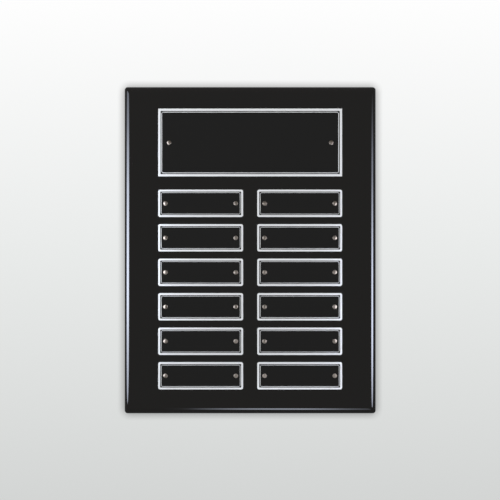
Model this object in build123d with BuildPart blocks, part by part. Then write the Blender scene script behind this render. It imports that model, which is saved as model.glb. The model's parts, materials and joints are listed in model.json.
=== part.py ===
from build123d import *
import os

# A perpetual award plaque that hangs on a wall. A lacquered board carries a header
# plate and a grid of name plates, each held by two dome-headed pins, and a keyhole
# hanger let into its back takes the head of a screw in the wall.
# Millimetres. The origin is the middle of the board's back face, +X is right,
# +Z is up, and the front looks along -Y.

# plates, all cut from one sheet
plate_thickness = 0.8
name_plate_width = 85.9
name_plate_height = 27.7
name_plate_corner = 2.0
header_plate_height = 68.6
header_plate_corner = 0.5

# layout of the board's face: the plates and their margins add up to its size
rows = 6
column_gap = 14.3
row_gap = 7.2
header_gap = 13.4
side_margin = 33.95
top_margin = 21.8
bottom_margin = 24.2

# board
board_thickness = 16.0
board_corner = 3.0
front_round = 6.0
back_round = 1.5

# pins: a spherical cap on a pointed shank
pin_head_diameter = 4.5
pin_head_height = 1.4
pin_diameter = 1.4
pin_length = 9.5
pin_point = 2.0
header_pin_inset = 11.0
name_pin_inset = 7.45
pin_hole_clearance = 0.05
plate_hole_clearance = 0.3

# keyhole hanger, flush with the back
hanger_below_top = 30.0
hanger_length = 44.0
hanger_width = 16.0
hanger_thickness = 1.2
hanger_recess_clearance = 0.2
entry_diameter = 9.0
entry_below_centre = 4.0
slot_width = 4.5
slot_rise = 9.0

# pocket in the board behind the keyhole, where the wall screw's head slides
pocket_clearance = 1.5
pocket_corner = 3.0
pocket_depth = 6.0

# the hanger's own two screws, countersunk at 90 degrees with a cross recess
screw_inset = 5.0
screw_diameter = 3.0
screw_length = 12.0
screw_point = 3.0
screw_clearance = 0.1
cross_span = 2.8
cross_width = 0.7
cross_depth = 0.9

# worked out from the sizes above
header_plate_width = 2 * name_plate_width + column_gap
row_pitch = name_plate_height + row_gap
rows_height = (rows - 1) * row_pitch + name_plate_height
board_width = header_plate_width + 2 * side_margin
board_height = top_margin + header_plate_height + header_gap + rows_height + bottom_margin
header_centre_z = board_height / 2 - top_margin - header_plate_height / 2
column_x = (name_plate_width + column_gap) / 2
first_row_z = header_centre_z - (header_plate_height + name_plate_height) / 2 - header_gap
hanger_z = board_height / 2 - hanger_below_top
entry_z = hanger_z - entry_below_centre
pocket_width = entry_diameter + 2 * pocket_clearance
pocket_height = pocket_width + slot_rise
screw_z_offset = hanger_length / 2 - screw_inset
screw_cone = hanger_thickness - screw_clearance
screw_head_radius = screw_diameter / 2 + screw_cone

board_front = Plane.XZ.offset(board_thickness)
plate_front = board_front.offset(plate_thickness)
# seen from behind: its first axis is Z and its second is X
board_back = Plane.ZX

# left, then right, from the top row down
name_plate_centres = [
    (side * column_x, first_row_z - row * row_pitch) for row in range(rows) for side in (-1, 1)
]


def pin_points(centre, width, inset):
    """Where a plate's two pins go: at mid height, one inset from each end."""
    x, z = centre
    return [(x - width / 2 + inset, z), (x + width / 2 - inset, z)]


header_pin_points = pin_points((0, header_centre_z), header_plate_width, header_pin_inset)
name_pin_points = [
    pin_points(centre, name_plate_width, name_pin_inset) for centre in name_plate_centres
]
all_pin_points = header_pin_points + [point for pair in name_pin_points for point in pair]
screw_points = [(hanger_z + side * screw_z_offset, 0) for side in (-1, 1)]

os.makedirs("parts", exist_ok=True)


def write(builder, name):
    """Label a finished piece and write it under its own name."""
    builder.part.label = name
    export_step(builder.part, f"parts/{name}.step")


# Board: a rounded-over slab whose four corners are then trimmed to a radius.
with BuildPart() as board:
    with BuildSketch(Plane.XZ):
        Rectangle(board_width, board_height)
    extrude(amount=board_thickness)
    fillet(board.faces().sort_by(Axis.Y).first.edges(), front_round)
    fillet(board.faces().sort_by(Axis.Y).last.edges(), back_round)
    with BuildSketch(Plane.XZ):
        RectangleRounded(board_width, board_height, board_corner)
    extrude(amount=board_thickness, mode=Mode.INTERSECT)

    # recess as deep as the hanger is thick, with the pocket in its floor
    with BuildSketch(Plane.XZ):
        with Locations((0, hanger_z)):
            SlotOverall(
                hanger_length + 2 * hanger_recess_clearance,
                hanger_width + 2 * hanger_recess_clearance,
                rotation=90,
            )
    extrude(amount=hanger_thickness, mode=Mode.SUBTRACT)
    with BuildSketch(Plane.XZ.offset(hanger_thickness)):
        with Locations((0, entry_z + slot_rise / 2)):
            RectangleRounded(pocket_width, pocket_height, pocket_corner)
    extrude(amount=pocket_depth, mode=Mode.SUBTRACT)

    # blind holes for the pins from the front and the hanger's screws from behind
    with Locations(board_front):
        with Locations(*all_pin_points):
            Hole(pin_diameter / 2 + pin_hole_clearance, depth=pin_length)
    with Locations(board_back):
        with Locations(*screw_points):
            Hole(screw_diameter / 2 + screw_clearance, depth=screw_length + screw_clearance)
write(board, "board")


# Keyhole hanger: a round-ended plate. The wall screw's head goes in at the wide
# hole, and its shank then slides up the narrow slot as the board is lowered.
with BuildPart() as keyhole_hanger:
    with BuildSketch(Plane.XZ):
        with Locations((0, hanger_z)):
            SlotOverall(hanger_length, hanger_width, rotation=90)
        with Locations((0, entry_z)):
            Circle(entry_diameter / 2, mode=Mode.SUBTRACT)
        with Locations((0, entry_z + slot_rise / 2)):
            SlotCenterToCenter(slot_rise, slot_width, rotation=90, mode=Mode.SUBTRACT)
    extrude(amount=hanger_thickness)
    with Locations(board_back):
        with Locations(*screw_points):
            CounterSinkHole(
                screw_diameter / 2 + screw_clearance,
                screw_head_radius + screw_clearance,
                counter_sink_angle=90,
            )
write(keyhole_hanger, "keyhole_hanger")


# Screw, upright with the flat of its head at the origin.
with BuildPart() as screw:
    with BuildSketch(Plane.XZ):
        with BuildLine():
            Polyline(
                (0, 0),
                (screw_head_radius, 0),
                (screw_diameter / 2, -screw_cone),
                (screw_diameter / 2, screw_point - screw_length),
                (0, -screw_length),
                close=True,
            )
        make_face()
    revolve(axis=Axis.Z)
    with BuildSketch(Plane.XY):
        Rectangle(cross_span, cross_width)
        Rectangle(cross_width, cross_span)
    extrude(amount=-cross_depth, mode=Mode.SUBTRACT)

with BuildPart() as hanger_screws:
    with Locations(board_back):
        with Locations(*screw_points):
            add(screw.part)
write(hanger_screws, "hanger_screws")


# Pin, upright with the underside of its head at the origin.
with BuildPart() as pin:
    with BuildSketch(Plane.XZ):
        with BuildLine():
            TangentArc((0, pin_head_height), (pin_head_diameter / 2, 0), tangent=(1, 0))
            Polyline(
                (pin_head_diameter / 2, 0),
                (pin_diameter / 2, 0),
                (pin_diameter / 2, pin_point - pin_length),
                (0, -pin_length),
                (0, pin_head_height),
            )
        make_face()
    revolve(axis=Axis.Z)


def write_plate(name, centre, width, height, corner, points):
    """Write one plate, flat on the board's front, and the pair of pins that holds it."""
    with BuildPart() as plate:
        with BuildSketch(board_front):
            with Locations(centre):
                RectangleRounded(width, height, corner)
            with Locations(*points):
                Circle(pin_diameter / 2 + plate_hole_clearance, mode=Mode.SUBTRACT)
        extrude(amount=plate_thickness)
    write(plate, name)

    with BuildPart() as pins:
        with Locations(plate_front):
            with Locations(*points):
                add(pin.part)
    write(pins, f"{name}_pins")


write_plate(
    "header_plate",
    (0, header_centre_z),
    header_plate_width,
    header_plate_height,
    header_plate_corner,
    header_pin_points,
)
for number, (centre, points) in enumerate(zip(name_plate_centres, name_pin_points), start=1):
    write_plate(
        f"name_plate_{number:02d}",
        centre,
        name_plate_width,
        name_plate_height,
        name_plate_corner,
        points,
    )
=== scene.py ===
import json
import math

import bmesh
import bpy
import numpy as np
from mathutils import Matrix, Vector
from mathutils.geometry import delaunay_2d_cdt

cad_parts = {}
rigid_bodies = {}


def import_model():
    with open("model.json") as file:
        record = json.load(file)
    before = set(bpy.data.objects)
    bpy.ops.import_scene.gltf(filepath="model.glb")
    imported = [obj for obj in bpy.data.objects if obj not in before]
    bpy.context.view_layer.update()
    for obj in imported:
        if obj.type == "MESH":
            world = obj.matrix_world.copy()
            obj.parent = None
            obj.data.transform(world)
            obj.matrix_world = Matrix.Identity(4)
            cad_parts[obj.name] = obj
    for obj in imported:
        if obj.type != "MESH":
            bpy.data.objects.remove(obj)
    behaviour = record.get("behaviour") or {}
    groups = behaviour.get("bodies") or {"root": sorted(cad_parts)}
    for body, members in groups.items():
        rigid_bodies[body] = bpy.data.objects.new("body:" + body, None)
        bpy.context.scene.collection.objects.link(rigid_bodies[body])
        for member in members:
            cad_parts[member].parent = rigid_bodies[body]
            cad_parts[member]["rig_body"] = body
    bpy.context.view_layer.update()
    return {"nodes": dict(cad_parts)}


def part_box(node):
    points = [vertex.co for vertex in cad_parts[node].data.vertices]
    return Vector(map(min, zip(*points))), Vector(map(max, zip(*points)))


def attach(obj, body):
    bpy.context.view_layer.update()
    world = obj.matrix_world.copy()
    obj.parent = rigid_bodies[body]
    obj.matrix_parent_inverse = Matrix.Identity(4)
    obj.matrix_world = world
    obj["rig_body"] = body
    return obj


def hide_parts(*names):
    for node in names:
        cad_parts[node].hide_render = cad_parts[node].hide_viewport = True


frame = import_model()
nodes = frame["nodes"]
mm = 0.001
print("frame loaded:", len(nodes), "nodes")


def linear(hexColour):
    # sRGB hex to linear light, with alpha 1
    parts = np.array([int(hexColour[i : i + 2], 16) for i in (1, 3, 5)]) / 255
    light = np.where(parts <= 0.04045, parts / 12.92, ((parts + 0.055) / 1.055) ** 2.4)
    return (*light.tolist(), 1.0)


def addNode(tree, kind, settings=None, links=None):
    # settings go to the input of that name, or to the node itself; links give an input its source
    node = tree.nodes.new(kind)
    for name, value in (settings or {}).items():
        if isinstance(name, int) or name in node.inputs:
            node.inputs[name].default_value = value
        else:
            setattr(node, name, value)
    for name, source in (links or {}).items():
        tree.links.new(source, node.inputs[name])
    return node


def newMaterial(name):
    material = bpy.data.materials.new(name)
    material.use_nodes = True
    tree = material.node_tree
    tree.nodes.clear()
    return material, tree


def span(node):
    low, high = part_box(node)
    return np.array(low), np.array(high)


noiseLow, noiseHigh = 0.3, 0.7  # nearly all of a noise texture's values lie between these


def pianoLacquer():
    # black polyester lacquer, sprayed, sanded and buffed: sharp reflections over a deep black,
    # drawn out a little by the last of the spray's orange peel and a long wave of the board below
    values = {
        "black": "#121110",
        "roughness": 0.025,
        "ior": 1.6,
        "peelMm": 2.4,
        "peelBump": 0.02,
        "peelDepth": 0.02 * mm,
        "waveMm": 38.0,
        "waveBump": 0.035,
        "waveDepth": 0.4 * mm,
    }
    material, tree = newMaterial("pianoLacquer")
    place = addNode(tree, "ShaderNodeTexCoord")
    peel = addNode(
        tree,
        "ShaderNodeTexNoise",
        {"Scale": 1 / (values["peelMm"] * mm), "Detail": 1.0},
        {"Vector": place.outputs["Object"]},
    )
    wave = addNode(
        tree,
        "ShaderNodeTexNoise",
        {"Scale": 1 / (values["waveMm"] * mm), "Detail": 0.0},
        {"Vector": place.outputs["Object"]},
    )
    waveBump = addNode(
        tree,
        "ShaderNodeBump",
        {"Strength": values["waveBump"], "Distance": values["waveDepth"]},
        {"Height": wave.outputs["Fac"]},
    )
    peelBump = addNode(
        tree,
        "ShaderNodeBump",
        {"Strength": values["peelBump"], "Distance": values["peelDepth"]},
        {"Height": peel.outputs["Fac"], "Normal": waveBump.outputs["Normal"]},
    )
    shader = addNode(
        tree,
        "ShaderNodeBsdfPrincipled",
        {
            "Base Color": linear(values["black"]),
            "Roughness": values["roughness"],
            "IOR": values["ior"],
        },
        {"Normal": peelBump.outputs["Normal"]},
    )
    addNode(tree, "ShaderNodeOutputMaterial", links={"Surface": shader.outputs["BSDF"]})
    return material


def backPaint():
    # one rolled coat of satin black on fibreboard: a fine stipple and a soft, broken sheen
    values = {
        "black": "#1b1b1c",
        "grey": "#262627",
        "cloudMm": 28.0,
        "smooth": 0.38,
        "rough": 0.52,
        "stippleMm": 0.9,
        "bump": 0.25,
        "depth": 0.08 * mm,
    }
    material, tree = newMaterial("rolledSatinPaint")
    place = addNode(tree, "ShaderNodeTexCoord")
    stipple = addNode(
        tree,
        "ShaderNodeTexNoise",
        {"Scale": 1 / (values["stippleMm"] * mm), "Detail": 3.0, "Roughness": 0.6},
        {"Vector": place.outputs["Object"]},
    )
    cloud = addNode(
        tree,
        "ShaderNodeTexNoise",
        {"Scale": 1 / (values["cloudMm"] * mm), "Detail": 4.0},
        {"Vector": place.outputs["Object"]},
    )
    colour = addNode(
        tree,
        "ShaderNodeMix",
        {"data_type": "RGBA"},
        {"Factor": cloud.outputs["Fac"]},
    )
    colour.inputs["A"].default_value = linear(values["black"])
    colour.inputs["B"].default_value = linear(values["grey"])
    sheen = addNode(
        tree,
        "ShaderNodeMapRange",
        {
            "From Min": noiseLow,
            "From Max": noiseHigh,
            "To Min": values["smooth"],
            "To Max": values["rough"],
        },
        {"Value": cloud.outputs["Fac"]},
    )
    bump = addNode(
        tree,
        "ShaderNodeBump",
        {"Strength": values["bump"], "Distance": values["depth"]},
        {"Height": stipple.outputs["Fac"]},
    )
    shader = addNode(
        tree,
        "ShaderNodeBsdfPrincipled",
        {"IOR": 1.5},
        {
            "Base Color": colour.outputs["Result"],
            "Roughness": sheen.outputs["Result"],
            "Normal": bump.outputs["Normal"],
        },
    )
    addNode(tree, "ShaderNodeOutputMaterial", links={"Surface": shader.outputs["BSDF"]})
    return material


def fibreboard():
    # medium-density fibreboard cut with a router: dull brown, with a short felted fibre
    values = {
        "light": "#a08362",
        "dark": "#6f563d",
        "roughness": 0.85,
        "fibreMm": 0.7,
        "bump": 0.5,
        "depth": 0.1 * mm,
    }
    material, tree = newMaterial("routedFibreboard")
    place = addNode(tree, "ShaderNodeTexCoord")
    fibre = addNode(
        tree,
        "ShaderNodeTexNoise",
        {"Scale": 1 / (values["fibreMm"] * mm), "Detail": 5.0, "Roughness": 0.7},
        {"Vector": place.outputs["Object"]},
    )
    colour = addNode(tree, "ShaderNodeMix", {"data_type": "RGBA"}, {"Factor": fibre.outputs["Fac"]})
    colour.inputs["A"].default_value = linear(values["dark"])
    colour.inputs["B"].default_value = linear(values["light"])
    bump = addNode(
        tree,
        "ShaderNodeBump",
        {"Strength": values["bump"], "Distance": values["depth"]},
        {"Height": fibre.outputs["Fac"]},
    )
    shader = addNode(
        tree,
        "ShaderNodeBsdfPrincipled",
        {"Roughness": values["roughness"], "IOR": 1.45},
        {"Base Color": colour.outputs["Result"], "Normal": bump.outputs["Normal"]},
    )
    addNode(tree, "ShaderNodeOutputMaterial", links={"Surface": shader.outputs["BSDF"]})
    return material


def satinAluminium():
    # bare aluminium left by etching the coat away: pale and nearly matt, because the etch leaves
    # it finely pitted, with a faint streak from the mill; its metallic is set well under a real
    # metal's, for an even silver
    values = {
        "pale": "#f3f5f7",
        "metallic": 0.3,
        "smooth": 0.8,
        "rough": 0.9,
        "streakMm": 1.6,
        "bump": 0.08,
        "depth": 0.03 * mm,
    }
    material, tree = newMaterial("etchedSatinAluminium")
    place = addNode(tree, "ShaderNodeTexCoord")
    streak = addNode(
        tree,
        "ShaderNodeTexNoise",
        {"Scale": 1 / (values["streakMm"] * mm), "Detail": 3.0, "Roughness": 0.6},
        {"Vector": place.outputs["Object"]},
    )
    rough = addNode(
        tree,
        "ShaderNodeMapRange",
        {
            "From Min": noiseLow,
            "From Max": noiseHigh,
            "To Min": values["smooth"],
            "To Max": values["rough"],
        },
        {"Value": streak.outputs["Fac"]},
    )
    bump = addNode(
        tree,
        "ShaderNodeBump",
        {"Strength": values["bump"], "Distance": values["depth"]},
        {"Height": streak.outputs["Fac"]},
    )
    shader = addNode(
        tree,
        "ShaderNodeBsdfPrincipled",
        {"Base Color": linear(values["pale"]), "Metallic": values["metallic"]},
        {"Roughness": rough.outputs["Result"], "Normal": bump.outputs["Normal"]},
    )
    addNode(tree, "ShaderNodeOutputMaterial", links={"Surface": shader.outputs["BSDF"]})
    return material


def blackEnamel():
    # baked black enamel on sheet: smooth, a little softer than the lacquer beside it
    values = {
        "black": "#131313",
        "smooth": 0.14,
        "rough": 0.17,
        "flowMm": 6.0,
        "bump": 0.02,
        "depth": 0.05 * mm,
    }
    material, tree = newMaterial("bakedBlackEnamel")
    place = addNode(tree, "ShaderNodeTexCoord")
    flow = addNode(
        tree,
        "ShaderNodeTexNoise",
        {"Scale": 1 / (values["flowMm"] * mm), "Detail": 2.0},
        {"Vector": place.outputs["Object"]},
    )
    rough = addNode(
        tree,
        "ShaderNodeMapRange",
        {
            "From Min": noiseLow,
            "From Max": noiseHigh,
            "To Min": values["smooth"],
            "To Max": values["rough"],
        },
        {"Value": flow.outputs["Fac"]},
    )
    bump = addNode(
        tree,
        "ShaderNodeBump",
        {"Strength": values["bump"], "Distance": values["depth"]},
        {"Height": flow.outputs["Fac"]},
    )
    shader = addNode(
        tree,
        "ShaderNodeBsdfPrincipled",
        {"Base Color": linear(values["black"]), "IOR": 1.55},
        {"Roughness": rough.outputs["Result"], "Normal": bump.outputs["Normal"]},
    )
    addNode(tree, "ShaderNodeOutputMaterial", links={"Surface": shader.outputs["BSDF"]})
    return material


def nickelPlate():
    # barrel-plated nickel on a steel pin: warm grey, darker than a polished plate, with the soft
    # sheen of a tumbled finish
    values = {"warm": "#ab9f91", "hazeMm": 1.1, "smooth": 0.52, "rough": 0.62}
    material, tree = newMaterial("tumbledNickelPlate")
    place = addNode(tree, "ShaderNodeTexCoord")
    haze = addNode(
        tree,
        "ShaderNodeTexNoise",
        {"Scale": 1 / (values["hazeMm"] * mm), "Detail": 3.0},
        {"Vector": place.outputs["Object"]},
    )
    rough = addNode(
        tree,
        "ShaderNodeMapRange",
        {
            "From Min": noiseLow,
            "From Max": noiseHigh,
            "To Min": values["smooth"],
            "To Max": values["rough"],
        },
        {"Value": haze.outputs["Fac"]},
    )
    shader = addNode(
        tree,
        "ShaderNodeBsdfPrincipled",
        {"Base Color": linear(values["warm"]), "Metallic": 1.0},
        {"Roughness": rough.outputs["Result"]},
    )
    addNode(tree, "ShaderNodeOutputMaterial", links={"Surface": shader.outputs["BSDF"]})
    return material


def zincPlate():
    # bright zinc on stamped steel: cool grey, with cloudy patches from the plating bath
    values = {
        "light": "#c9ced2",
        "dark": "#a3a9ae",
        "smooth": 0.24,
        "rough": 0.42,
        "cloudMm": 3.5,
    }
    material, tree = newMaterial("brightZincPlate")
    place = addNode(tree, "ShaderNodeTexCoord")
    cloud = addNode(
        tree,
        "ShaderNodeTexNoise",
        {"Scale": 1 / (values["cloudMm"] * mm), "Detail": 5.0, "Roughness": 0.65},
        {"Vector": place.outputs["Object"]},
    )
    colour = addNode(tree, "ShaderNodeMix", {"data_type": "RGBA"}, {"Factor": cloud.outputs["Fac"]})
    colour.inputs["A"].default_value = linear(values["dark"])
    colour.inputs["B"].default_value = linear(values["light"])
    rough = addNode(
        tree,
        "ShaderNodeMapRange",
        {
            "From Min": noiseLow,
            "From Max": noiseHigh,
            "To Min": values["smooth"],
            "To Max": values["rough"],
        },
        {"Value": cloud.outputs["Fac"]},
    )
    shader = addNode(
        tree,
        "ShaderNodeBsdfPrincipled",
        {"Metallic": 1.0},
        {"Base Color": colour.outputs["Result"], "Roughness": rough.outputs["Result"]},
    )
    addNode(tree, "ShaderNodeOutputMaterial", links={"Surface": shader.outputs["BSDF"]})
    return material


finishes = {
    "lacquer": pianoLacquer(),
    "back": backPaint(),
    "core": fibreboard(),
    "silver": satinAluminium(),
    "enamel": blackEnamel(),
    "nickel": nickelPlate(),
    "zinc": zincPlate(),
}
print("finishes made:", len(finishes))


def roundedRings(halfSize, radius, cut=0.0, cornerSteps=6):
    # one ring per row of halfSize (half width, half height): each corner is a quarter circle of
    # that ring's radius about a centre set in from the corner, and cut moves it towards its chord
    halfSize = np.atleast_2d(halfSize)
    radius, cut = (np.broadcast_to(v, len(halfSize))[:, None, None, None] for v in (radius, cut))
    share = np.linspace(0, 1, cornerSteps + 1)
    turn = (np.arange(4)[:, None] + share) * np.pi / 2
    signs = np.array([[1, 1], [-1, 1], [-1, -1], [1, -1]])[:, None]
    arc = signs * (halfSize[:, None, None] - radius)
    arc = arc + radius * np.stack([np.cos(turn), np.sin(turn)], -1)
    chord = arc[:, :, :1] + (arc[:, :, -1:] - arc[:, :, :1]) * share[:, None]
    return (arc + cut * (chord - arc)).reshape(len(halfSize), -1, 2)


def circleRings(radius, steps=20):
    # one circle per radius, as points at even turns
    turn = np.arange(steps) / steps * 2 * np.pi
    return np.atleast_1d(radius)[:, None, None] * np.stack([np.cos(turn), np.sin(turn)], -1)


def flatFill(rings):
    # the flat area inside the first ring and outside the others, cut into triangles that have the
    # rings' points for corners
    last = np.cumsum([len(ring) for ring in rings])
    areas = [list(range(end - len(ring), end)) for ring, end in zip(rings, last)]
    out = delaunay_2d_cdt(np.concatenate(rings).tolist(), [], areas, 2, 1e-9)
    return np.array(out[0]), out[2]


class Shell:
    # gathers rings and flat fills of one piece in the frame's axes, then welds them into a mesh
    def __init__(self):
        self.points, self.faces, self.finish = [], [], []
        self.count = 0

    def addPoints(self, points):
        self.points.append(points.reshape(-1, 3))
        first = self.count
        self.count += len(self.points[-1])
        return first

    def loft(self, rings, depth, finish, centre=(0, 0)):
        # rings (n, k, 2) stand at the depths (n): each quad joins two neighbours on two rings
        rings = rings + np.asarray(centre)
        n, k = rings.shape[:2]
        depth = np.broadcast_to(np.asarray(depth, float)[:, None], (n, k))
        first = self.addPoints(np.stack([rings[..., 0], depth, rings[..., 1]], -1))
        index = first + np.arange(n * k).reshape(n, k)
        after = np.roll(index, -1, 1)
        quads = np.stack([index[:-1], after[:-1], after[1:], index[1:]], -1).reshape(-1, 4)
        self.faces += quads.tolist()
        finish = np.broadcast_to(np.atleast_1d(finish)[:, None], (n - 1, k))
        self.finish += finish.ravel().tolist()

    def fill(self, rings, depth, finish):
        flat, faces = flatFill(rings)
        first = self.addPoints(np.insert(flat, 1, depth, 1))
        self.faces += [[first + i for i in face] for face in faces]
        self.finish += [finish] * len(faces)

    def make(self, name, materials, node, sharp=32):
        mesh = bpy.data.meshes.new(name)
        mesh.from_pydata(np.concatenate(self.points).tolist(), [], self.faces)
        for material in materials:
            mesh.materials.append(finishes[material])
        mesh.polygons.foreach_set("material_index", self.finish)
        weld = bmesh.new()
        weld.from_mesh(mesh)
        bmesh.ops.remove_doubles(weld, verts=weld.verts, dist=1e-7)
        bmesh.ops.dissolve_degenerate(weld, edges=weld.edges, dist=1e-8)
        bmesh.ops.recalc_face_normals(weld, faces=weld.faces)
        loose = sum(not edge.is_manifold for edge in weld.edges)
        print(name, len(weld.faces), "faces,", loose, "edges without two faces")
        weld.to_mesh(mesh)
        weld.free()
        mesh.shade_smooth()
        mesh.set_sharp_from_angle(angle=math.radians(sharp))
        piece = bpy.data.objects.new(name, mesh)
        bpy.context.scene.collection.objects.link(piece)
        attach(piece, nodes[node]["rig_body"])
        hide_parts(node)


def quarter(steps):
    # (1 - cos, sin) over a quarter turn: how far in and how far up a rounded edge has come
    turn = np.linspace(0, np.pi / 2, steps + 1)
    return 1 - np.cos(turn), np.sin(turn)


boardLow, boardHigh = span("board")
hangerLow, hangerHigh = span("keyhole_hanger")
screwLow, screwHigh = span("hanger_screws")
board = {
    "corner": 3.0 * mm,
    "frontRound": 6.0 * mm,
    "backRound": 1.5 * mm,
    "easing": 0.4 * mm,
    "pinHole": 0.75 * mm,
    "pinHoleDepth": 9.5 * mm,
    "holeBreak": 0.08 * mm,
    "recessGap": 0.2 * mm,
    "pocketHalf": (6.0 * mm, 10.5 * mm),
    "pocketRise": 0.5 * mm,
    "pocketCorner": 3.0 * mm,
    "pocketDepth": 6.0 * mm,
    "screwHole": 1.6 * mm,
    "screwHoleDepth": 12.1 * mm,
}
plateNames = ["header_plate"] + [f"name_plate_{n:02d}" for n in range(1, 13)]
pinRadius = 2.25 * mm


def pinCentres(plate):
    # both pins are at the middle of their node's height, a head's radius in from its ends
    low, high = span(f"{plate}_pins")
    z = (low[2] + high[2]) / 2
    return np.array([[low[0] + pinRadius, z], [high[0] - pinRadius, z]])


def screwCentres():
    # both are on the board's upright middle line, a head's radius in from their node's ends
    headRadius = (screwHigh[0] - screwLow[0]) / 2
    return np.array([[0, screwLow[2] + headRadius], [0, screwHigh[2] - headRadius]])


def makeBoard():
    shell = Shell()
    half = (boardHigh - boardLow)[[0, 2]] / 2
    front, back = boardLow[1], boardHigh[1]
    inward, upward = quarter(20)
    backIn, backUp = quarter(6)
    # from the back face's edge, round it, up the side and over the front round
    inset = np.concatenate(
        [
            [board["backRound"] + board["easing"]],
            board["backRound"] * backIn[::-1],
            board["frontRound"] * inward,
            [board["frontRound"] + board["easing"]],
        ]
    )
    depth = np.concatenate(
        [
            [back],
            back - board["backRound"] * (1 - backUp[::-1]),
            front + board["frontRound"] * (1 - upward),
            [front],
        ]
    )
    rings = roundedRings(half - inset[:, None], board["corner"], cornerSteps=16)
    finish = np.where(np.arange(len(inset) - 1) < 1, 1, 0)
    shell.loft(rings, depth, finish)

    # blind pin holes in the front, their edge broken by the bit
    pins = np.concatenate([pinCentres(plate) for plate in plateNames])
    wide = board["pinHole"] + board["holeBreak"]
    hole = circleRings([wide, board["pinHole"], board["pinHole"], 0], 16)
    holeFloor = board["pinHoleDepth"]
    holeDepth = front + np.array([0, board["holeBreak"], holeFloor, holeFloor])
    for centre in pins:
        shell.loft(hole, holeDepth, 2, centre)
    shell.fill([rings[-1], *(hole[0] + pins[:, None])], front, 0)

    # recess for the hanger, the pocket in its floor and the two screw holes
    middle = np.array([0, (hangerLow[2] + hangerHigh[2]) / 2])
    recessHalf = (hangerHigh - hangerLow)[[0, 2]] / 2 + board["recessGap"]
    floor = hangerLow[1]
    recess = roundedRings([recessHalf] * 2, recessHalf[0], cornerSteps=12)
    shell.loft(recess, [back, floor], 2, middle)
    pocketMiddle = middle + np.array([0, board["pocketRise"]])
    pocket = roundedRings([board["pocketHalf"]] * 2, board["pocketCorner"])
    pocketFloor = floor - board["pocketDepth"]
    shell.loft(pocket, [floor, pocketFloor], 2, pocketMiddle)
    shell.fill([pocket[0] + pocketMiddle], pocketFloor, 2)
    screwHole = circleRings([board["screwHole"], board["screwHole"], 0], 16)
    screws = screwCentres()
    screwFloor = back - board["screwHoleDepth"]
    for centre in screws:
        shell.loft(screwHole, [floor, screwFloor, screwFloor], 2, centre)
    holes = [pocket[0] + pocketMiddle, *(screwHole[0] + screws[:, None])]
    shell.fill([recess[0] + middle, *holes], floor, 2)
    shell.fill([rings[0], recess[0] + middle], back, 1)
    shell.make("lacqueredBoard", ["lacquer", "back", "core"], "board")


makeBoard()

# the border from the plate's edge inward: bare rim, black hairline, bare line, then the field
namePlate = {
    "corner": 2.0 * mm,
    "rim": 1.95 * mm,
    "gap": 0.83 * mm,
    "line": 0.43 * mm,
    "rimCorner": 0.7 * mm,
    "lineCut": 1.3 * mm,
    "fieldCut": 0.8 * mm,
}
headerPlate = {
    "corner": 0.5 * mm,
    "rim": 2.35 * mm,
    "gap": 0.9 * mm,
    "line": 0.62 * mm,
    "rimCorner": 0.25 * mm,
    "lineCut": 1.5 * mm,
    "fieldCut": 0.8 * mm,
}
sheet = {
    "coat": 0.035 * mm,
    "shoulder": 0.03 * mm,
    "rolled": 0.14 * mm,
    "burr": 0.05 * mm,
    "pinHole": 1.0 * mm,
}


def makePlate(node, values):
    shell = Shell()
    low, high = span(node)
    middle = ((low + high) / 2)[[0, 2]]
    half = ((high - low) / 2)[[0, 2]]
    bare = low[1] + sheet["coat"]  # the metal's own level, under the coat
    inward, upward = quarter(4)
    burr, rolled, shoulder = (sheet[k] for k in ("burr", "rolled", "shoulder"))
    corner, inner, lineCut, fieldCut = (
        values[k] for k in ("corner", "rimCorner", "lineCut", "fieldCut")
    )
    lineStart = values["rim"] + values["gap"]
    lineEnd = lineStart + values["line"]
    # inset, depth, corner radius, how far the corner is cut straight, finish of the strip inward
    edge = [(burr, high[1], corner, 0, 1), (0, high[1] - burr, corner, 0, 1)]
    edge += [(rolled * i, bare + rolled * (1 - u), corner, 0, 1) for i, u in zip(inward, upward)]
    border = [
        (rolled + shoulder, bare, corner, 0, 1),
        (values["rim"], bare, inner, 0, 0),
        (values["rim"] + shoulder, low[1], inner, 0, 0),
        (lineStart - shoulder, low[1], lineCut, 1, 0),
        (lineStart, bare, lineCut, 1, 1),
        (lineEnd, bare, fieldCut, 1, 0),
        (lineEnd + shoulder, low[1], fieldCut, 1, 0),
    ]
    table = np.array(edge + border, float)
    rings = roundedRings(half - table[:, :1], table[:, 2], table[:, 3], cornerSteps=8)
    shell.loft(rings, table[:, 1], table[:-1, 4].astype(int), middle)

    # each pin's hole runs through the sheet
    pins = pinCentres(node)
    hole = circleRings([sheet["pinHole"]] * 2)
    for centre in pins:
        shell.loft(hole, [low[1], high[1]], 1, centre)
    holes = list(hole[0] + pins[:, None])
    shell.fill([rings[-1] + middle, *holes], low[1], 0)
    shell.fill([rings[0] + middle, *holes], high[1], 1)
    name = node.replace("header_plate", "headerPlate").replace("name_plate_", "namePlate")
    shell.make(name, ["enamel", "silver"], node, sharp=25)


for plate in plateNames:
    makePlate(plate, headerPlate if plate == "header_plate" else namePlate)
print("plates made:", len(plateNames))

pin = {
    "headHeight": 1.4 * mm,
    "shank": 0.7 * mm,
    "point": 2.0 * mm,
    "lip": 0.12 * mm,
    "domeSteps": 12,
    "around": 32,
}


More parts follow.
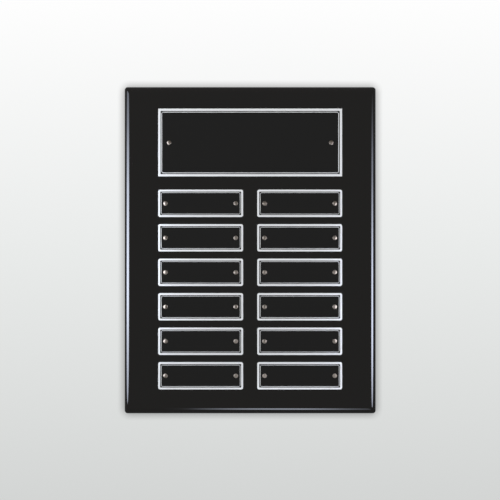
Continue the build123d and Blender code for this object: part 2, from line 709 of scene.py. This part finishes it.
def makePins(plate):
    # a profile turned about the pin's axis: point, shank, flat under the head, small lip, dome
    shell = Shell()
    low, high = span(f"{plate}_pins")
    under = low[1] + pin["headHeight"]
    ball = (pinRadius**2 + pin["headHeight"] ** 2) / (2 * pin["headHeight"])
    widest = np.arcsin(pinRadius / ball)
    turn = np.linspace(widest, 0, pin["domeSteps"] + 1)
    radius = np.concatenate(
        [[0, pin["shank"], pin["shank"], pinRadius - pin["lip"]], ball * np.sin(turn)]
    )
    depth = np.concatenate(
        [
            [high[1], high[1] - pin["point"], under, under],
            low[1] + ball * (1 - np.cos(turn)) - np.where(turn == widest, pin["lip"] / 2, 0),
        ]
    )
    for centre in pinCentres(plate):
        shell.loft(circleRings(radius, pin["around"]), depth, 0, centre)
    name = plate.replace("header_plate", "headerPlate").replace("name_plate_", "namePlate") + "Pins"
    shell.make(name, ["nickel"], f"{plate}_pins", sharp=40)


for plate in plateNames:
    makePins(plate)
print("pins made:", 2 * len(plateNames))

# the roll is the soft edge that the press leaves on the side it strikes
hanger = {
    "roll": 0.18 * mm,
    "entry": 4.5 * mm,
    "entryDrop": 4.0 * mm,
    "slot": 2.25 * mm,
    "rise": 9.0 * mm,
    "screwHole": 1.6 * mm,
    "sinkDepth": 1.1 * mm,
}


def keyholeRing(grow):
    # the entry's circle from one side of the slot round to the other, then the half circle at the
    # slot's top, both grown by the same amount: the slot's straight sides join them
    entry, slot = hanger["entry"] + grow, hanger["slot"] + grow
    meet = np.arccos(slot / entry)
    low = np.linspace(meet, meet - (np.pi + 2 * meet), 29)
    top = np.linspace(np.pi, 0, 13)
    lowArc = entry * np.stack([np.cos(low), np.sin(low)], -1)
    topArc = slot * np.stack([np.cos(top), np.sin(top)], -1) + [0, hanger["rise"]]
    return np.concatenate([lowArc, topArc])


def makeHanger():
    shell = Shell()
    half = (hangerHigh - hangerLow)[[0, 2]] / 2
    middle = np.array([0, (hangerLow[2] + hangerHigh[2]) / 2])
    inner, outer = hangerLow[1], hangerHigh[1]
    inward, upward = quarter(5)
    roll = np.concatenate([[0], hanger["roll"] * inward])
    depth = np.concatenate([[inner], outer - hanger["roll"] * (1 - upward)])
    edge = roundedRings(half - roll[:, None], half[0] - roll, cornerSteps=14)
    shell.loft(edge, depth, 0, middle)
    entry = middle - np.array([0, hanger["entryDrop"]])
    keyhole = np.stack([keyholeRing(grow) for grow in roll])
    shell.loft(keyhole, depth, 0, entry)
    sink = hanger["screwHole"] + hanger["sinkDepth"]
    hole = circleRings([hanger["screwHole"], hanger["screwHole"], sink], 28)
    for centre in screwCentres():
        shell.loft(hole, [inner, outer - hanger["sinkDepth"], outer], 0, centre)
    for n, at in ((0, inner), (-1, outer)):
        holes = list(hole[n] + screwCentres()[:, None])
        shell.fill([edge[n] + middle, keyhole[n] + entry, *holes], at, 0)
    shell.make("keyholeHanger", ["zinc"], "keyhole_hanger")


makeHanger()

screw = {
    "head": 2.6 * mm,
    "headDepth": 1.1 * mm,
    "crest": 1.5 * mm,
    "root": 1.1 * mm,
    "pitch": 1.3 * mm,
    "point": 3.0 * mm,
    "cross": (1.4 * mm, 0.35 * mm),
    "crossFloor": (0.85 * mm, 0.24 * mm),
    "crossDepth": 0.9 * mm,
    "turned": (17, -38),
    "edgeBreak": 0.05 * mm,
    "hollow": 1.5,  # over 1 hollows the thread's flanks
    "around": 24,
    "rows": 56,
}


def crossRing(reach, halfWidth, turned):
    # a cross of two equal bars, each with its reach from the middle and half its width to either
    # side, turned by an angle in degrees
    a, b = reach, halfWidth
    arm = np.array([[a, -b], [a, b], [b, b]])
    turn = np.arange(4) * np.pi / 2 + math.radians(turned)
    spin = np.stack([[np.cos(turn), np.sin(turn)], [-np.sin(turn), np.cos(turn)]])
    return np.einsum("pi,ijn->npj", arm, spin).reshape(-1, 2)


def makeScrews():
    # the thread's radius at a depth and a turn is the root's plus a share of its height: the share
    # goes up and down once for each pitch of depth, less the turn's own share of a pitch, and the
    # whole is narrowed to nothing over the point
    shell = Shell()
    back, tip = screwHigh[1], screwLow[1]
    edgeBreak = screw["edgeBreak"]
    turn = np.arange(screw["around"]) / screw["around"]
    run = np.linspace(screw["headDepth"], back - tip, screw["rows"])
    phase = (run[:, None] / screw["pitch"] - turn) % 1
    height = (screw["crest"] - screw["root"]) * np.abs(2 * phase - 1) ** screw["hollow"]
    narrowed = np.clip((run[-1] - run) / screw["point"], 0, 1)
    narrowed = np.where(run == run[0], screw["crest"] / screw["root"], narrowed)
    radius = (screw["root"] + height * (run > run[0])[:, None]) * narrowed[:, None]
    circle = np.stack([np.cos(turn * 2 * np.pi), np.sin(turn * 2 * np.pi)], -1)
    shank = radius[..., None] * circle
    head = screw["head"] - edgeBreak * np.array([2, 1])
    head = circleRings(head, screw["around"])
    rings = np.concatenate([head, shank])
    depth = back - np.concatenate([[0, edgeBreak], run])
    for centre, turned in zip(screwCentres(), screw["turned"]):
        shell.loft(rings, depth, 0, centre)
        cross = np.stack([crossRing(*screw[k], turned) for k in ("cross", "crossFloor")])
        shell.loft(cross, [back, back - screw["crossDepth"]], 0, centre)
        shell.fill([head[0] + centre, cross[0] + centre], back, 0)
        shell.fill([cross[1] + centre], back - screw["crossDepth"], 0)
    shell.make("hangerScrews", ["zinc"], "hanger_screws", sharp=30)


makeScrews()
print("hanger and its screws made")

# the wall is a sheet just ahead of the board's back
stage = {
    "wallDepth": -0.8 * mm,
    "wallHalf": 1.1,
    "wallCorner": 0.1,
    "holeInset": 0.3 * mm,
    "fade": (0.4, 1.0),  # from the board's middle, where the gradient gives way to plain grey
    "gradientHalf": 0.2535,  # the gradient's reach above and below the board's middle
    "top": "#fefefe",
    "middle": "#e9ebea",
    "bottom": "#d3d5d4",
    "bounce": "#e6e6e6",  # what diffuse light meets
    "shadowReach": 8.0 * mm,
    "shadowDepth": 0.87,
    "inGloss": 0.2,  # its level in reflections, against 1 for the eye
}


def wallFinish():
    # matt pale paper: its grey deepens downward and evens out far from the board, with a soft shade
    # where the board meets it, a dim reflection in gloss, and no back
    material, tree = newMaterial("mattPaper")
    place = addNode(tree, "ShaderNodeTexCoord")
    parts = addNode(tree, "ShaderNodeSeparateXYZ", links={"Vector": place.outputs["Object"]})
    height = addNode(
        tree,
        "ShaderNodeMapRange",
        {"From Min": -stage["gradientHalf"], "From Max": stage["gradientHalf"]},
        {"Value": parts.outputs["Z"]},
    )
    ramp = addNode(tree, "ShaderNodeValToRGB", links={"Fac": height.outputs["Result"]})
    ramp.color_ramp.elements[0].color = linear(stage["bottom"])
    ramp.color_ramp.elements[1].color = linear(stage["top"])
    ramp.color_ramp.elements.new(0.5).color = linear(stage["middle"])
    reach = addNode(
        tree, "ShaderNodeVectorMath", {"operation": "LENGTH"}, {0: place.outputs["Object"]}
    )
    away = addNode(
        tree,
        "ShaderNodeMapRange",
        {
            "From Min": stage["fade"][0],
            "From Max": stage["fade"][1],
            "interpolation_type": "SMOOTHSTEP",
        },
        {"Value": reach.outputs["Value"]},
    )
    paper = addNode(
        tree,
        "ShaderNodeMix",
        {"data_type": "RGBA"},
        {"Factor": away.outputs["Result"]},
    )
    tree.links.new(ramp.outputs["Color"], paper.inputs["A"])
    paper.inputs["B"].default_value = linear(stage["middle"])
    shade = addNode(
        tree, "ShaderNodeAmbientOcclusion", {"samples": 16, "Distance": stage["shadowReach"]}
    )
    soft = addNode(
        tree,
        "ShaderNodeMapRange",
        {"To Min": 1 - stage["shadowDepth"]},
        {"Value": shade.outputs["AO"]},
    )
    path = addNode(tree, "ShaderNodeLightPath")
    level = addNode(
        tree,
        "ShaderNodeMapRange",
        {"To Min": 1.0, "To Max": stage["inGloss"]},
        {"Value": path.outputs["Is Glossy Ray"]},
    )
    strength = addNode(
        tree,
        "ShaderNodeMath",
        {"operation": "MULTIPLY"},
        {0: soft.outputs["Result"], 1: level.outputs["Result"]},
    )
    seen = addNode(
        tree,
        "ShaderNodeEmission",
        links={"Color": paper.outputs["Result"], "Strength": strength.outputs[0]},
    )
    lit = addNode(tree, "ShaderNodeBsdfDiffuse", {"Color": linear(stage["bounce"])})
    bounced = addNode(
        tree,
        "ShaderNodeMixShader",
        links={0: path.outputs["Is Diffuse Ray"], 1: seen.outputs[0], 2: lit.outputs[0]},
    )
    side = addNode(tree, "ShaderNodeNewGeometry")
    clear = addNode(tree, "ShaderNodeBsdfTransparent")
    both = addNode(
        tree,
        "ShaderNodeMixShader",
        links={0: side.outputs["Backfacing"], 1: bounced.outputs[0], 2: clear.outputs[0]},
    )
    addNode(tree, "ShaderNodeOutputMaterial", links={"Surface": both.outputs[0]})
    return material


def makeWall():
    # a sheet with a hole just inside the board's outline, so the board's back stays lit
    wide = stage["wallHalf"]
    outer = roundedRings([[wide, wide]], stage["wallCorner"])
    half = (boardHigh - boardLow)[[0, 2]] / 2 - stage["holeInset"]
    inner = roundedRings([half], board["corner"], cornerSteps=8)
    flat, faces = flatFill([outer[0], inner[0]])
    mesh = bpy.data.meshes.new("wall")
    mesh.from_pydata(np.insert(flat, 1, stage["wallDepth"], 1).tolist(), [], faces)
    mesh.update()
    if mesh.polygons[0].normal.y > 0:
        mesh.flip_normals()
    mesh.materials.append(wallFinish())
    wall = bpy.data.objects.new("wall", mesh)
    bpy.context.scene.collection.objects.link(wall)


makeWall()

# Narrow lamps close to three of the board's edges, which show only in reflections. Each is placed
# as its edge sees it, at a distance and over a stretch along that edge. It lies between two angles
# off straight ahead, near and far, each given at the stretch's two ends, and the near one bends
# from one to the other. The profile is its brightness along the stretch, from 0 at the low or left
# end to 1.
softRim = 0.8  # a face fades out from here to 1, in the measure that makeSoftBox gives
softBoxes = {
    "left": {
        "edge": (-0.125, 0.0),
        "near": (40, 25),
        "far": (85, 82),
        "bend": 0.35,
        "distance": 0.036,
        "stretch": (-0.1585, 0.18),
        "level": 18.0,
        "colour": "#e2eafd",
        "profile": [(0, 0.42), (0.2, 0.72), (0.36, 1), (0.66, 0.69), (0.82, 0.33), (1, 0.14)],
        "ends": 8,
    },
    "right": {
        "edge": (0.125, 0.0),
        "near": (29, 33),
        "far": (70, 71),
        "bend": 1,
        "distance": 0.036,
        "stretch": (-0.164, 0.164),
        "level": 16.8,
        "colour": "#e1e7fd",
        "profile": [
            (0, 0.45), (0.12, 0.76), (0.27, 1), (0.5, 0.77),
            (0.68, 0.38), (0.82, 0.16), (1, 0),
        ],
        "ends": 8,
    },
    "low": {
        "edge": (0.0, -0.163),
        "near": (10, 16),
        "far": (42, 48),
        "bend": 1,
        "distance": 0.036,
        "stretch": (-0.09, 0.138),
        "level": 5.5,
        "colour": "#dfe7f8",
        "profile": [
            (0, 0), (0.15, 0.16), (0.34, 0.73), (0.57, 1),
            (0.68, 0.85), (0.8, 0.45), (1, 0.02),
        ],
        "ends": 20,
    },
}


def makeSoftBox(name, values):
    # a lamp whose face is a rounded oblong: bright where across^2 + along^ends < 1, with across
    # running from -1 at the near angle to 1 at the far one, and along from end to end likewise
    nearest, farthest = min(values["near"]), max(values["far"])
    middle = math.radians((nearest + farthest) / 2)
    spread = values["distance"] * math.tan(math.radians((farthest - nearest) / 2))
    low, high = values["stretch"]
    x, z = values["edge"]
    if x:
        outward = Vector((math.copysign(1, x), 0, 0))
        alongAxis = Vector((0, 0, 1))
        start = Vector((x, boardLow[1], (low + high) / 2))
    else:
        outward = Vector((0, 0, math.copysign(1, z)))
        alongAxis = Vector((1, 0, 0))
        start = Vector(((low + high) / 2, boardLow[1], z))
    away = outward * math.sin(middle) + Vector((0, -1, 0)) * math.cos(middle)
    across = alongAxis.cross(away)
    side = math.copysign(values["distance"] / (2 * spread), across.dot(outward))
    near, far = (
        [0.5 + side * math.tan(math.radians(angle) - middle) for angle in values[edge]]
        for edge in ("near", "far")
    )
    lamp = bpy.data.lights.new(name, "AREA")
    lamp.shape = "RECTANGLE"
    lamp.size, lamp.size_y = 2 * spread, high - low
    lamp.energy = 1.0
    lamp.use_nodes = True
    tree = lamp.node_tree
    tree.nodes.clear()
    place = addNode(tree, "ShaderNodeNewGeometry")
    parts = addNode(
        tree, "ShaderNodeSeparateXYZ", links={"Vector": place.outputs["Parametric"]}
    )
    bent = addNode(
        tree,
        "ShaderNodeMath",
        {"operation": "POWER", 1: values["bend"]},
        {0: parts.outputs["Y"]},
    )
    edges = [
        addNode(tree, "ShaderNodeMapRange", {"To Min": ends[0], "To Max": ends[1]}, {"Value": run})
        for ends, run in ((near, bent.outputs[0]), (far, parts.outputs["Y"]))
    ]
    acrossFace = addNode(
        tree,
        "ShaderNodeMapRange",
        {"clamp": False, "To Min": -1.0},
        {
            "Value": parts.outputs["X"],
            "From Min": edges[0].outputs["Result"],
            "From Max": edges[1].outputs["Result"],
        },
    )
    alongFace = addNode(
        tree,
        "ShaderNodeMapRange",
        {"clamp": False, "To Min": -1.0},
        {"Value": parts.outputs["Y"]},
    )
    powers = []
    for spot, power in ((acrossFace, 2), (alongFace, values["ends"])):
        size = addNode(
            tree, "ShaderNodeMath", {"operation": "ABSOLUTE"}, {0: spot.outputs["Result"]}
        )
        powers.append(
            addNode(tree, "ShaderNodeMath", {"operation": "POWER", 1: power}, {0: size.outputs[0]})
        )
    total = addNode(
        tree,
        "ShaderNodeMath",
        {"operation": "ADD"},
        {0: powers[0].outputs[0], 1: powers[1].outputs[0]},
    )
    mask = addNode(
        tree,
        "ShaderNodeMapRange",
        {"From Min": 1.0, "From Max": softRim, "interpolation_type": "SMOOTHSTEP"},
        {"Value": total.outputs[0]},
    )
    ramp = addNode(tree, "ShaderNodeValToRGB", links={"Fac": parts.outputs["Y"]})
    ramp.color_ramp.interpolation = "CARDINAL"
    for n, (spot, level) in enumerate(values["profile"]):
        if n < 2:
            element = ramp.color_ramp.elements[n]
            element.position = spot
        else:
            element = ramp.color_ramp.elements.new(spot)
        element.color = (level, level, level, 1)
    # what makes the lamp's face as bright as its level says
    power = values["level"] * math.pi * lamp.size * lamp.size_y
    shaped = addNode(
        tree,
        "ShaderNodeMath",
        {"operation": "MULTIPLY"},
        {0: mask.outputs["Result"], 1: ramp.outputs["Color"]},
    )
    strength = addNode(
        tree, "ShaderNodeMath", {"operation": "MULTIPLY", 1: power}, {0: shaped.outputs[0]}
    )
    emission = addNode(
        tree,
        "ShaderNodeEmission",
        {"Color": linear(values["colour"])},
        {"Strength": strength.outputs[0]},
    )
    addNode(tree, "ShaderNodeOutputLight", links={"Surface": emission.outputs[0]})
    box = bpy.data.objects.new(name, lamp)
    # the lamp's own axes as columns: across, along, and away from the board
    turned = Matrix((across, alongAxis, away)).transposed().to_4x4()
    turned.translation = start + away * values["distance"]
    box.matrix_world = turned
    box.visible_camera = False
    box.visible_diffuse = False
    bpy.context.scene.collection.objects.link(box)


for boxName, boxValues in softBoxes.items():
    makeSoftBox(f"{boxName}SoftBox", boxValues)

fill = {"place": (-0.5, -1.7, 0.9), "size": 1.4, "level": 1.0, "colour": "#ffffff"}


def makeFill():
    # one large soft lamp above and to the left that lights whatever is matt and isn't itself
    # mirrored: its power gives a card square to it about the level asked for
    lamp = bpy.data.lights.new("fill", "AREA")
    lamp.shape = "DISK"
    lamp.size = fill["size"]
    lamp.color = linear(fill["colour"])[:3]
    place = Vector(fill["place"])
    lamp.energy = fill["level"] * (2 * math.pi * place.length) ** 2 / 4
    box = bpy.data.objects.new("fill", lamp)
    box.location = place
    box.rotation_euler = place.to_track_quat("Z", "Y").to_euler()
    box.visible_camera = False
    box.visible_glossy = False
    bpy.context.scene.collection.objects.link(box)


makeFill()

# the light changes from ahead to behind as a direction's Y goes from one turn to the other
room = {"ahead": 0.2, "behind": 0.9, "turn": (-0.05, 0.3), "colour": "#fbfaf8"}


def makeWorld():
    # a dark studio in front of the board and a lit room behind it, for light and reflections only:
    # looked at directly, it is the wall's plain grey all round
    world = bpy.data.worlds.new("room")
    bpy.context.scene.world = world
    world.use_nodes = True
    tree = world.node_tree
    tree.nodes.clear()
    place = addNode(tree, "ShaderNodeTexCoord")
    parts = addNode(tree, "ShaderNodeSeparateXYZ", links={"Vector": place.outputs["Generated"]})
    level = addNode(
        tree,
        "ShaderNodeMapRange",
        {
            "From Min": room["turn"][0],
            "From Max": room["turn"][1],
            "To Min": room["ahead"],
            "To Max": room["behind"],
        },
        {"Value": parts.outputs["Y"]},
    )
    path = addNode(tree, "ShaderNodeLightPath")
    lit = addNode(
        tree,
        "ShaderNodeBackground",
        {"Color": linear(room["colour"])},
        {"Strength": level.outputs["Result"]},
    )
    seen = addNode(tree, "ShaderNodeBackground", {"Color": linear(stage["middle"])})
    mixed = addNode(
        tree,
        "ShaderNodeMixShader",
        links={0: path.outputs["Is Camera Ray"], 1: lit.outputs[0], 2: seen.outputs[0]},
    )
    addNode(tree, "ShaderNodeOutputWorld", links={"Surface": mixed.outputs[0]})


makeWorld()

view = {
    "distance": 8.0,
    "sensor": 36.0,
    "acrossMm": 506.45,  # the width in view at half the board's thickness
    "aimX": -0.18 * mm,
    "aimZ": 0.23 * mm,
    "clipEnd": 20.0,
}
plane = (boardLow[1] + boardHigh[1]) / 2
cameraData = bpy.data.cameras.new("camera")
cameraData.sensor_width = view["sensor"]
cameraData.lens = view["distance"] * view["sensor"] / (view["acrossMm"] * mm)
cameraData.clip_end = view["clipEnd"]
camera = bpy.data.objects.new("camera", cameraData)
camera.location = (view["aimX"], plane - view["distance"], view["aimZ"])
camera.rotation_euler = (math.pi / 2, 0, 0)
bpy.context.scene.collection.objects.link(camera)
bpy.context.scene.camera = camera
bpy.context.scene.view_settings.view_transform = "Standard"
